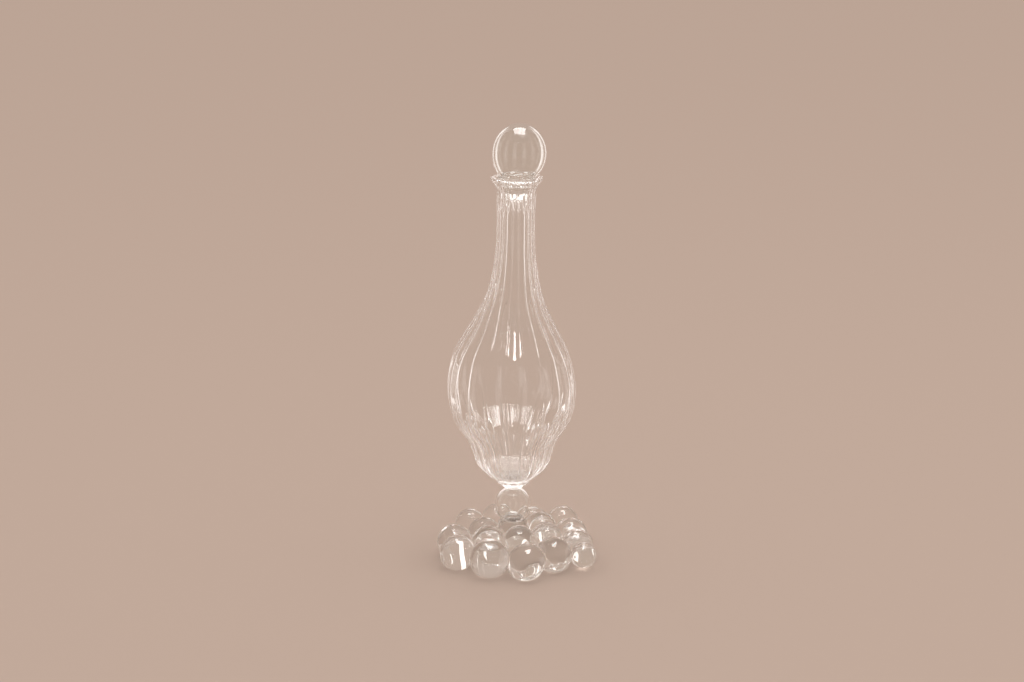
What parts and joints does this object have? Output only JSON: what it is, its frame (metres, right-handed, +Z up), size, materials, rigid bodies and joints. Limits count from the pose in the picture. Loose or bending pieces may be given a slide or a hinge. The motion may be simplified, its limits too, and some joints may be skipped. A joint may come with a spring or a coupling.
{
  "type": "carafe",
  "caption": "Tall blown-glass carafe with a ribbed pear-shaped bowl and slender neck, a foot of clustered solid glass balls, and a lift-out ball stopper.",
  "frame": {"origin": "middle of the foot core's flat underside, level with the table", "axes": "+Z up along the carafe, -Y towards the viewer of the picture, +X to the picture's right"},
  "size_m": [0.1262, 0.1283, 0.3547],
  "materials": {
    "vessel_glass": "clear, glossy, faintly ribbed",
    "foot_glass": "clear, glossy, solid",
    "stopper_glass": "clear, glossy"
  },
  "bodies": {
    "carafe": {"vessel": "vessel_glass", "foot_core": "foot_glass", "inner_foot_ball_1": "foot_glass", "inner_foot_ball_2": "foot_glass", "inner_foot_ball_3": "foot_glass", "inner_foot_ball_4": "foot_glass", "inner_foot_ball_5": "foot_glass", "inner_foot_ball_6": "foot_glass", "outer_foot_ball_01": "foot_glass", "outer_foot_ball_02": "foot_glass", "outer_foot_ball_03": "foot_glass", "outer_foot_ball_04": "foot_glass", "outer_foot_ball_05": "foot_glass", "outer_foot_ball_06": "foot_glass", "outer_foot_ball_07": "foot_glass", "outer_foot_ball_08": "foot_glass", "outer_foot_ball_09": "foot_glass", "outer_foot_ball_10": "foot_glass", "outer_foot_ball_11": "foot_glass", "outer_foot_ball_12": "foot_glass", "knop": "foot_glass", "merese": "foot_glass"},
    "stopper": {"stopper_plug": "stopper_glass", "stopper_ball": "stopper_glass"}
  },
  "joints": [
    {"name": "stopper_lift", "type": "slide", "parent": "carafe", "child": "stopper", "axis": [0, 0, 1], "range_m": [0, 0.045]}
  ]
}
